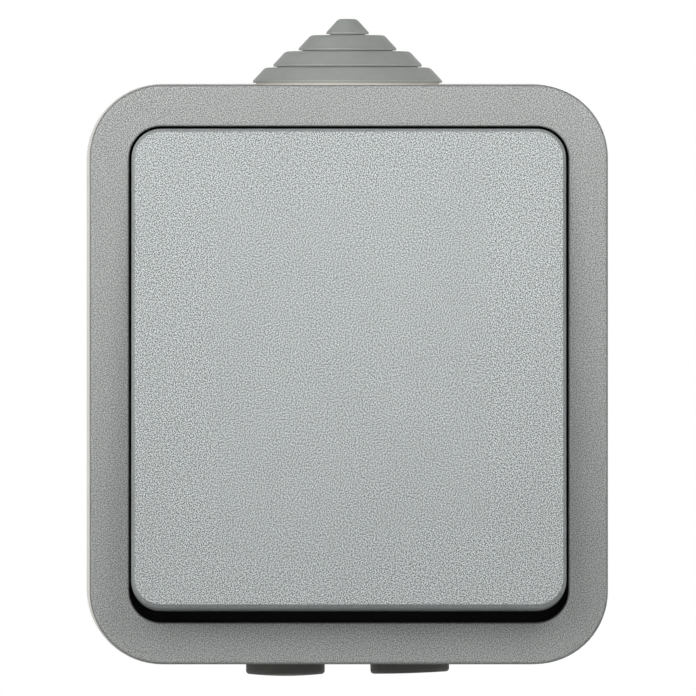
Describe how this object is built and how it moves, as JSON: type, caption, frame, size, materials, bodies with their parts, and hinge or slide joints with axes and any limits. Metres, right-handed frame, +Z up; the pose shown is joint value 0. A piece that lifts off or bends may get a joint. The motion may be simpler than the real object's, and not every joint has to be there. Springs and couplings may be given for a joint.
{
  "type": "weatherproof wall switch",
  "caption": "Surface-mounted weatherproof wall switch: a deep rounded box and framed cover with a wide rocker key, a stepped cable grommet on top and blanking plugs below.",
  "frame": {"origin": "centre of the back face that lies on the wall", "axes": "+Z up, +X to the viewer's right, the front with the key faces -Y"},
  "size_m": [0.069, 0.0491, 0.0868],
  "materials": {
    "frame_plastic": "fine spark-eroded grain",
    "key_plastic": "fine spark-eroded grain",
    "box_plastic": "smooth satin",
    "grommet_rubber": "smooth matt",
    "plug_rubber": "smooth matt",
    "seal_rubber": "smooth matt",
    "mechanism_plastic": "smooth satin",
    "cradle_plastic": "smooth satin",
    "screw_steel": "zinc plated",
    "spring_steel": "drawn wire",
    "terminal_brass": "satin",
    "contact_silver": "satin"
  },
  "bodies": {
    "housing": {"back_box": "box_plastic", "cover_frame": "frame_plastic", "cover_gasket": "seal_rubber", "cover_screws": "screw_steel", "window_seal": "seal_rubber", "cable_grommet": "grommet_rubber", "blanking_plug_left": "plug_rubber", "blanking_plug_right": "plug_rubber", "mechanism_base": "mechanism_plastic", "mechanism_bridge": "mechanism_plastic", "mechanism_screws": "screw_steel", "bridge_screws": "screw_steel", "common_terminal": "terminal_brass", "load_terminal": "terminal_brass", "terminal_screws": "screw_steel", "fixed_contact": "contact_silver"},
    "rocker": {"rocker_key": "key_plastic", "rocker_cradle": "cradle_plastic", "plunger_spring": "spring_steel"},
    "plunger": {"contact_plunger": "mechanism_plastic"},
    "contact_lever": {"contact_lever": "terminal_brass", "moving_contact": "contact_silver"}
  },
  "joints": [
    {"name": "rocker_tilt", "type": "hinge", "parent": "housing", "child": "rocker", "pos_m": [0, -0.0346, 0], "axis": [1, 0, 0], "range_deg": [0, 8]},
    {"name": "lever_tilt", "type": "hinge", "parent": "housing", "child": "contact_lever", "pos_m": [0, -0.0174, 0], "axis": [1, 0, 0], "range_deg": [-12, 0]},
    {"name": "plunger_slide", "type": "slide", "parent": "rocker", "child": "plunger", "axis": [0, -0.9976, 0.0698], "range_m": [0, 0.0008], "stiffness_N_per_m": 400, "deforming": ["plunger_spring"]}
  ],
  "couplings": [
    {"joint": "lever_tilt", "follows": "rocker_tilt", "ratio": -1.5}
  ]
}
